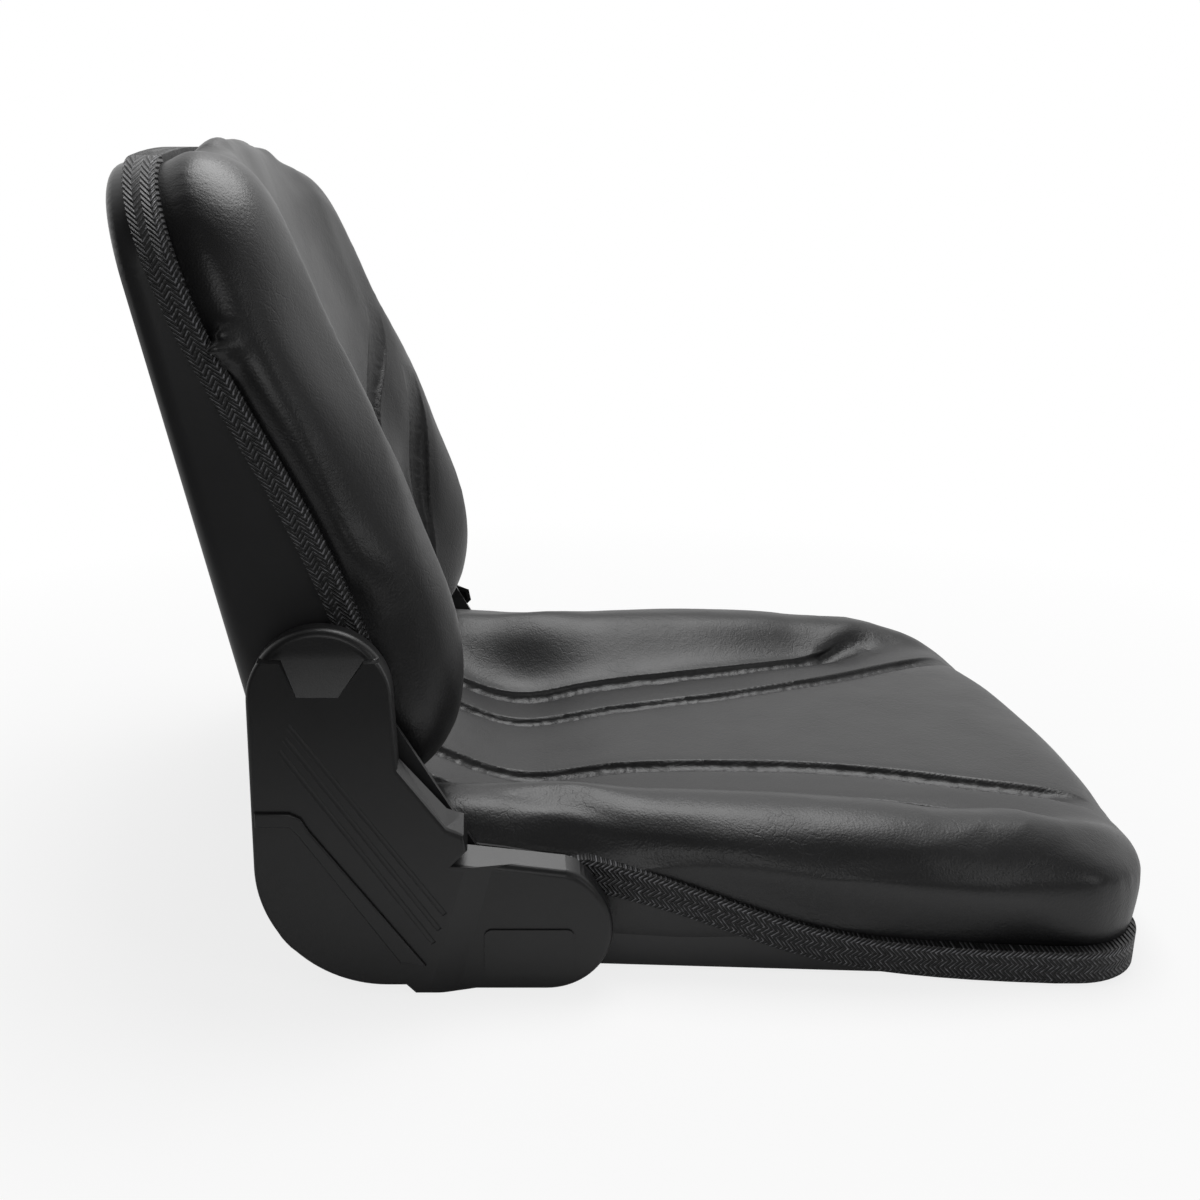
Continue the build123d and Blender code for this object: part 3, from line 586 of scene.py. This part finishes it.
def press(piece, line, flat, facing, half, depth, fade, soft=False):
    """Presses a groove into a padded cover along a line and its mirror image.

    flat picks the two coordinates in which the line is drawn; facing picks the points that it may press.
    A soft groove is a plain hollow; the others are channels whose walls gather the cover in small folds.
    """
    spots = points_of(piece.data)
    ways = normals_of(piece.data)
    gap, where = groove_gap(spots, flat, line)
    rise = np.clip(1 - gap / (half / MM), 0, 1)
    end = np.clip((1 - where) / fade, 0, 1) if fade else 1.0
    allowed = facing(spots, ways)
    if soft:
        shape = step(rise, 0, 1)
    else:
        shape = np.sqrt(np.maximum(1 - (1 - rise) ** 2, 0))
        run = np.linalg.norm(np.diff(np.array(line, float), axis=0), axis=1).sum()
        for i in np.nonzero((rise > 0) & (allowed > 0))[0]:
            side = math.copysign(5.0, spots[i, 1])
            fold = noise.noise(Vector((where[i] * run / 4.0, gap[i] / 9.0, side)))
            shape[i] += 0.11 * fold * math.sin(math.pi * rise[i])
    put_points(piece.data, spots - ways * (shape * end * allowed * depth)[:, None])


def mark_folds(piece, flat, facing, lines, reach):
    """Stores how near each point lies to a fold of the cover, for the creases of the cloth."""
    spots = points_of(piece.data)
    near = np.zeros(len(spots))
    for line in lines:
        near = np.maximum(near, np.clip(1 - groove_gap(spots, flat, line)[0] / reach, 0, 1))
    near *= facing(spots, normals_of(piece.data))
    layer = piece.data.attributes.new("fold", "FLOAT", "POINT")
    layer.data.foreach_set("value", near.astype(np.float32))


def ahead_of_back(spots):
    """How far in mm points lie ahead of the backrest's leaning rear face."""
    return spots[:, 0] / MM - BACK_FOOT[0] + BACK_SLOPE * (spots[:, 2] / MM - BACK_FOOT[1])


def upward(spots, ways):
    """How far each point of the seat faces up."""
    return np.clip((ways[:, 2] - 0.1) / 0.3, 0, 1)


def forward(spots, ways):
    """How far each point of the backrest faces forward."""
    return np.clip((ways[:, 0] - 0.05) / 0.3, 0, 1)


def smooth_shade(piece):
    """Shades every face of a piece smoothly."""
    piece.data.polygons.foreach_set("use_smooth", [True] * len(piece.data.polygons))
    piece.data.update()


class SEAT_OT_seat_cushion(bpy.types.Operator):
    """Makes the seat cushion: foam in a grooved leathercloth cover"""
    bl_idname = "seat.seat_cushion"
    bl_label = "Seat cushion"

    def execute(self, context):
        settings = context.scene.seat_cushion
        piece = copy_of("seat_cushion", "seat_cushion_cover")
        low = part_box("seat_cushion")[0][2]
        stuff(piece, lambda spots: spots[:, 2] < low + 3 * MM)
        refine(piece)
        x, y, z = points_of(piece.data).T / MM
        side = np.abs(y)
        top = step(normals_of(piece.data)[:, 2], 0.0, 0.5)
        rim = line_at(SEAT_TRIM_TOP, x)
        half = SEAT_HALF + SEAT_GAIN * np.clip((x - SEAT_GAIN_START) / SEAT_GAIN_RUN, 0, 1)
        gap, out_y, out_x = to_edge(y, x, half, SEAT_FRONT, SEAT_CORNER)
        # The cover rolls out over the trim at the sides
        roll = step(gap, -42, -6) * step(z, rim, rim + 42) * step(x, -100, -55)
        roll *= SIDE_ROLL - FRONT_LESS * out_x
        # The nose is bowed forward above the trim
        bow = NOSE_BOW * np.clip(1 - (y / 195) ** 2, 0, 1) * step(x, 140, 262) * step(z, 20, 45)
        # The bolsters' crests are lower than the foam's, and thin out towards the rear
        lift = -CREST_DROP * step(x, -70, -10) * (1 - step(x, 140, 200)) * step(side, 115, 160) * top
        lift -= REAR_DROP * step(-x, 0, 125) * step(side, 104, 140) * (1 - step(side, 150, 188)) * top
        lift += REAR_RISE * step(-x, 20, 90) * step(side, 172, 196) * top
        # The nose's foot is tucked down behind the trim, but not through the pan
        tuck = step(x, 185, 240) * (1 - step(z, 24, 54))
        low_side = roll + TUCK_OUT * tuck * step(gap, -32, -8)
        drop = np.minimum(TUCK_DOWN * tuck, np.maximum(z - TUCK_FLOOR, 0))
        ahead = (roll - TUCK_BACK * tuck) * out_x + bow
        form(piece, np.column_stack([ahead, low_side * out_y, lift - drop]), 8)
        flat = [0, 1]
        lines = (SEAT_INNER, SEAT_OUTER, SEAT_WEDGE)
        level(piece, flat, upward, lines, LEVEL_REACH)
        finer_near(piece, flat, upward, lines, FINER_REACH)
        for line in lines[:2]:
            press(piece, line, flat, upward, settings.groove_half, settings.groove_depth, 0.06)
        press(piece, SEAT_WEDGE, flat, upward, WEDGE_HALF * MM, WEDGE_DEPTH * MM, 0.4, True)
        mark_folds(piece, flat, upward, lines, CREASE_REACH)
        smooth_shade(piece)
        piece.data.materials.append(leathercloth())
        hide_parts("seat_cushion")
        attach(piece, "seat")
        return {"FINISHED"}


class SEAT_OT_backrest_cushion(bpy.types.Operator):
    """Makes the backrest cushion: foam in a grooved leathercloth cover"""
    bl_idname = "seat.backrest_cushion"
    bl_label = "Backrest cushion"

    def execute(self, context):
        settings = context.scene.seat_cushion
        piece = copy_of("backrest_cushion", "backrest_cushion_cover")
        stuff(piece, lambda spots: ahead_of_back(spots) < BACK_HELD)
        refine(piece)
        x, y, z = points_of(piece.data).T / MM
        gap, out_y, out_z = to_edge(y, z + y * y / BACK_ARCH, BACK_HALF, BACK_TOP, BACK_CORNER)
        edge = line_at(BACK_TRIM_FRONT, z)
        # The cover rolls out over the trim, further at the top's middle, and stays clear of the hinge plates
        crown = np.clip(1 - (y / 130) ** 2, 0, 1)
        reach = -42 - 14 * out_z
        roll = step(gap, reach, reach + 38) * step(x, edge - 3, edge + 12) * step(z, 190, 240)
        roll *= BACK_ROLL + BACK_TOP_ROLL * out_z * crown
        sideways = roll * out_y * (1 - 0.5 * step(z, 300, 390))
        # The middle panel is dished
        dish = -BACK_DISH * np.clip(1 - (y / 118) ** 2, 0, 1) * step(z, 190, 270) * (1 - step(z, 395, 430))
        dish *= forward(points_of(piece.data), normals_of(piece.data))
        form(piece, np.column_stack([dish, sideways, roll * out_z]), 16)
        flat = [2, 1]
        lines = (BACK_INNER, BACK_OUTER)
        level(piece, flat, forward, lines, LEVEL_REACH)
        finer_near(piece, flat, forward, lines, FINER_REACH)
        for line in lines:
            press(piece, line, flat, forward, settings.groove_half, settings.groove_depth, 0.3)
        mark_folds(piece, flat, forward, lines, CREASE_REACH)
        # Loose cover has worked out over the trim on the right-hand side
        x, y, z = points_of(piece.data).T / MM
        off_x, off_z = (x - PUCKER[0]) / PUCKER_SIZE[0], (z - PUCKER[1]) / PUCKER_SIZE[1]
        loose = np.exp(-off_x ** 2 - off_z ** 2) * (y < -150)
        loose *= 1 + np.array([noise.noise(Vector((a / 5, b / 5, 3.0))) for a, b in zip(x, z)])
        puckered = np.column_stack([x - PUCKER_OUT[0] * loose, y - PUCKER_OUT[1] * loose, z])
        put_points(piece.data, puckered * MM)
        smooth_shade(piece)
        piece.data.materials.append(leathercloth())
        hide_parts("backrest_cushion")
        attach(piece, "backrest")
        return {"FINISHED"}


def braid_map(piece, along, across):
    """Lays a map of run and width on a trim, in metres."""
    layer = piece.data.uv_layers.new(name="braid")
    spots = points_of(piece.data)
    run = along(spots)
    width = across(spots)
    corner = np.empty(len(piece.data.loops), dtype=int)
    piece.data.loops.foreach_get("vertex_index", corner)
    layer.data.foreach_set("uv", np.column_stack([run[corner], width[corner]]).ravel())


def rounded(piece, radius):
    """Rounds a trim's sharp edges."""
    shape = bmesh.new()
    shape.from_mesh(piece.data)
    bmesh.ops.dissolve_limit(shape, angle_limit=math.radians(1), verts=shape.verts, edges=shape.edges)
    sharp = [e for e in shape.edges if len(e.link_faces) == 2 and e.calc_face_angle() > math.radians(50)]
    bmesh.ops.bevel(shape, geom=sharp, offset=radius, affect="EDGES", segments=3, profile=0.5, material=-1,
                    clamp_overlap=True)
    bmesh.ops.triangulate(shape, faces=[f for f in shape.faces if len(f.verts) > 4])
    shape.to_mesh(piece.data)
    shape.free()


def lower_top(spots):
    """Flattens the backrest's arched top edge a little."""
    spots[:, 2] -= TOP_DROP * MM * step(spots[:, 2], 0.380, 0.435)
    return spots


def true_normals(piece, fold):
    """Shades a pressed or moulded piece so that its flats stay flat and its fillets round.

    Edges that turn by more than fold degrees stay sharp.
    """
    shape = bmesh.new()
    shape.from_mesh(piece.data)
    bmesh.ops.dissolve_limit(shape, angle_limit=math.radians(0.5), verts=shape.verts, edges=shape.edges)
    shape.to_mesh(piece.data)
    shape.free()
    smooth_shade(piece)
    piece.data.set_sharp_from_angle(angle=math.radians(fold))
    shade = piece.modifiers.new("Flat faces", "WEIGHTED_NORMAL")
    shade.weight = 100
    shade.keep_sharp = True
    settle(piece)


class SEAT_OT_edge_trims(bpy.types.Operator):
    """Makes the braided trims round the edges of the two cushions"""
    bl_idname = "seat.edge_trims"
    bl_label = "Edge trims"

    def execute(self, context):
        for node, body in (("seat_edge_trim", "seat"), ("backrest_edge_trim", "backrest")):
            piece = copy_of(node, node + "_braid")
            spots = points_of(piece.data)
            if body == "backrest":
                edge = line_at(BACK_TRIM_FRONT, spots[:, 2] / MM) * MM
                spots[:, 0] = edge + (spots[:, 0] - edge) * TRIM_KEPT
                spots = lower_top(spots)
            else:
                spots[:, 2] -= TRIM_END_DROP * MM * step(-spots[:, 0], 0.050, 0.075)
            put_points(piece.data, spots)
            rounded(piece, 1.1 * MM)
            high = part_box(node)[1]
            if body == "seat":
                side = high[1] - 0.045
                front = high[0] - 0.045
                along = lambda s: np.where(np.abs(s[:, 1]) > side, s[:, 0], front + side - np.abs(s[:, 1]))
                across = lambda s: line_at(SEAT_TRIM_TOP, s[:, 0] / MM) * MM - s[:, 2]
            else:
                side = high[1] - 0.065
                top = high[2] - 0.075
                along = lambda s: np.where(np.abs(s[:, 1]) > side, s[:, 2], top + side - np.abs(s[:, 1]))
                across = lambda s: line_at(BACK_TRIM_FRONT, s[:, 2] / MM) * MM - s[:, 0]
            braid_map(piece, along, across)
            smooth_shade(piece)
            piece.data.set_sharp_from_angle(angle=math.radians(35))
            piece.data.materials.append(braid())
            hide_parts(node)
            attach(piece, body)
        return {"FINISHED"}


class SEAT_OT_side_covers(bpy.types.Operator):
    """Finishes the two moulded side covers"""
    bl_idname = "seat.side_covers"
    bl_label = "Side covers"

    def execute(self, context):
        for side in ("right", "left"):
            node = "side_cover_" + side
            piece = copy_of(node, node + "_moulding")
            spots = points_of(piece.data)
            out = np.abs(spots[:, 1]) / MM
            x, z = spots[:, 0] / MM, spots[:, 2] / MM
            # The rib grooves' floors are raised
            sunk = (out > 233.7) & (out < 234.98) & (x > -214) & (x < -124) & (z > 24) & (z < 156)
            out = np.where(sunk, COVER_FACE - (COVER_FACE - out) * RIB_KEPT, out)
            spots[:, 1] = np.sign(spots[:, 1]) * out * MM
            # The flap's top rises towards the cushion
            flap = step(-x, 42, 58) * (1 - step(-x, 122, 136)) * (z > 54)
            spots[:, 2] += FLAP_RISE * MM * flap * np.clip((COVER_FACE - out) / FLAP_WIDTH, 0, 1)
            put_points(piece.data, spots)
            true_normals(piece, 13.5)
            piece.data.materials.append(moulded_plastic())
            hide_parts(node)
            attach(piece, "seat")
        return {"FINISHED"}


class SEAT_OT_steelwork(bpy.types.Operator):
    """Finishes the pan, the backrest shell, the hinge plates and the arms"""
    bl_idname = "seat.steelwork"
    bl_label = "Steelwork"

    def execute(self, context):
        dress("seat_pan", painted_steel())
        piece = copy_of("backrest_shell", "backrest_shell_pressing")
        spots = points_of(piece.data)
        spots[:, 0] -= SHELL_BACK * MM * (1 - step(ahead_of_back(spots), 4, 14))
        put_points(piece.data, lower_top(spots))
        true_normals(piece, 32)
        piece.data.materials.append(painted_steel())
        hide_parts("backrest_shell")
        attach(piece, "backrest")
        for side in ("right", "left"):
            for stem in ("hinge_bracket_", "backrest_arm_"):
                dress(stem + side, painted_steel())
        return {"FINISHED"}


class SEAT_OT_fixings(bpy.types.Operator):
    """Finishes the nuts, bolts, pins, washers and bushes"""
    bl_idname = "seat.fixings"
    bl_label = "Fixings"

    def execute(self, context):
        dress("mount_nuts", zinc_plate())
        stems = ("bracket_bolts_", "bracket_nuts_", "cover_screws_", "pivot_bolt_", "pivot_nut_",
                 "pivot_washer_", "stop_pin_", "stop_stud_")
        for side in ("right", "left"):
            for stem in stems:
                dress(stem + side, zinc_plate())
            dress("pivot_bush_" + side, bush_nylon())
        return {"FINISHED"}


class SEAT_OT_stage(bpy.types.Operator):
    """Sets the floor, the light and the camera"""
    bl_idname = "seat.stage"
    bl_label = "Stage"

    def execute(self, context):
        scene = context.scene
        settings = scene.seat_stage
        scene.view_settings.view_transform = "Standard"
        shape = bmesh.new()
        bmesh.ops.create_grid(shape, x_segments=1, y_segments=1, size=3.0)
        bmesh.ops.translate(shape, verts=shape.verts, vec=(0, 3.0 - 0.55, CAD_BOX[0][2] - 0.0005))
        mesh = bpy.data.meshes.new("floor")
        shape.to_mesh(mesh)
        shape.free()
        floor = bpy.data.objects.new("floor", mesh)
        scene.collection.objects.link(floor)
        # White paper: the camera sees it nearly white with the seat's soft shadow, and the seat sees the
        # paper itself
        mat, tree, out = blank("white_paper_floor")
        paper = add(tree, "ShaderNodeBsdfDiffuse", in_Color=linear(finish_settings().floor))
        glow = add(tree, "ShaderNodeEmission", in_Color=(1, 1, 1, 1), in_Strength=1.0)
        path = add(tree, "ShaderNodeLightPath")
        place = add(tree, "ShaderNodeTexCoord")
        reach = add(tree, "ShaderNodeVectorMath", [(0, place.outputs["Object"])], operation="LENGTH")
        fade = add(tree, "ShaderNodeMapRange", [("Value", reach.outputs["Value"])], in_From_Min=0.35,
                   in_From_Max=0.9, in_To_Min=0.8, in_To_Max=1.0)
        share = add(tree, "ShaderNodeMath", [(0, path.outputs["Is Camera Ray"]), (1, fade.outputs[0])],
                    operation="MULTIPLY")
        seen = add(tree, "ShaderNodeMixShader", [(0, share.outputs[0]), (1, paper.outputs[0]),
                                                 (2, glow.outputs[0])])
        tree.links.new(seen.outputs[0], out.inputs[0])
        mesh.materials.append(mat)

        world = bpy.data.worlds.new("studio")
        scene.world = world
        world.use_nodes = True
        tree = world.node_tree
        tree.nodes.clear()
        # White behind the seat and dim behind the camera, as a paper backdrop in a room
        path = add(tree, "ShaderNodeLightPath")
        way = add(tree, "ShaderNodeTexCoord")
        axes = add(tree, "ShaderNodeSeparateXYZ", [("Vector", way.outputs["Generated"])])
        depth = add(tree, "ShaderNodeMapRange", [("Value", axes.outputs["Y"])], in_From_Min=-0.35,
                    in_From_Max=0.45, in_To_Min=0.05, in_To_Max=1.0)
        white = add(tree, "ShaderNodeBackground", in_Color=(1, 1, 1, 1), in_Strength=1.0)
        room = add(tree, "ShaderNodeBackground", [("Strength", depth.outputs[0])], in_Color=(1, 1, 1, 1))
        fill = add(tree, "ShaderNodeBackground", in_Color=(1, 1, 1, 1), in_Strength=0.25)
        shine = add(tree, "ShaderNodeMath", [(0, path.outputs["Is Glossy Ray"]),
                                             (1, path.outputs["Is Transmission Ray"])], operation="MAXIMUM")
        lit = add(tree, "ShaderNodeMixShader", [(0, shine.outputs[0]), (1, fill.outputs[0]),
                                                (2, room.outputs[0])])
        seen = add(tree, "ShaderNodeMixShader", [(0, path.outputs["Is Camera Ray"]), (1, lit.outputs[0]),
                                                 (2, white.outputs[0])])
        add(tree, "ShaderNodeOutputWorld", [("Surface", seen.outputs[0])])

        lamps = (("top_softbox", (0.15, 0.35, 1.6), (0.05, 0.0, 0.1), (1.0, 1.0), 18.0),
                 ("camera_softbox", (-0.1, -1.8, 0.6), (0.0, 0.0, 0.15), (0.8, 0.5), 3.5),
                 ("side_softbox", (1.2, -1.2, 0.75), (0.0, -0.1, 0.2), (0.3, 0.9), 2.5))
        for name, spot, aim, size, power in lamps:
            lamp = bpy.data.lights.new(name, "AREA")
            lamp.shape = "RECTANGLE"
            lamp.size, lamp.size_y = size
            lamp.energy = power
            holder = bpy.data.objects.new(name, lamp)
            holder.location = spot
            holder.rotation_euler = (Vector(aim) - Vector(spot)).to_track_quat("-Z", "Y").to_euler()
            scene.collection.objects.link(holder)

        camera = bpy.data.cameras.new("camera")
        camera.sensor_width = 36.0
        camera.lens = settings.lens
        camera.shift_x = settings.shift
        holder = bpy.data.objects.new("camera", camera)
        holder.location = (settings.along, -settings.reach, settings.height)
        holder.rotation_euler = (math.pi / 2 - settings.tilt, 0, 0)
        scene.collection.objects.link(holder)
        scene.camera = holder
        return {"FINISHED"}


class SEAT_PT_panel(bpy.types.Panel):
    bl_label = "Folding tractor seat"
    bl_space_type = "VIEW_3D"
    bl_region_type = "UI"
    bl_category = "Seat"

    def draw(self, context):
        for operator in OPERATORS:
            self.layout.operator(operator.bl_idname)
        for group in (context.scene.seat_cushion, context.scene.seat_finish, context.scene.seat_stage):
            box = self.layout.box()
            for name in group.__annotations__:
                box.prop(group, name)


OPERATORS = (SEAT_OT_stage, SEAT_OT_seat_cushion, SEAT_OT_backrest_cushion, SEAT_OT_edge_trims,
             SEAT_OT_side_covers, SEAT_OT_steelwork, SEAT_OT_fixings)
CLASSES = (SeatCushionSettings, SeatFinishSettings, SeatStageSettings) + OPERATORS + (SEAT_PT_panel,)


def register():
    for item in CLASSES:
        bpy.utils.register_class(item)
    bpy.types.Scene.seat_cushion = bpy.props.PointerProperty(type=SeatCushionSettings)
    bpy.types.Scene.seat_finish = bpy.props.PointerProperty(type=SeatFinishSettings)
    bpy.types.Scene.seat_stage = bpy.props.PointerProperty(type=SeatStageSettings)


def unregister():
    del bpy.types.Scene.seat_cushion
    del bpy.types.Scene.seat_finish
    del bpy.types.Scene.seat_stage
    for item in reversed(CLASSES):
        bpy.utils.unregister_class(item)


def main():
    register()
    bpy.ops.seat.stage()
    bpy.ops.seat.seat_cushion()
    bpy.ops.seat.backrest_cushion()
    bpy.ops.seat.edge_trims()
    bpy.ops.seat.side_covers()
    bpy.ops.seat.steelwork()
    bpy.ops.seat.fixings()


if __name__ == "__main__":
    main()
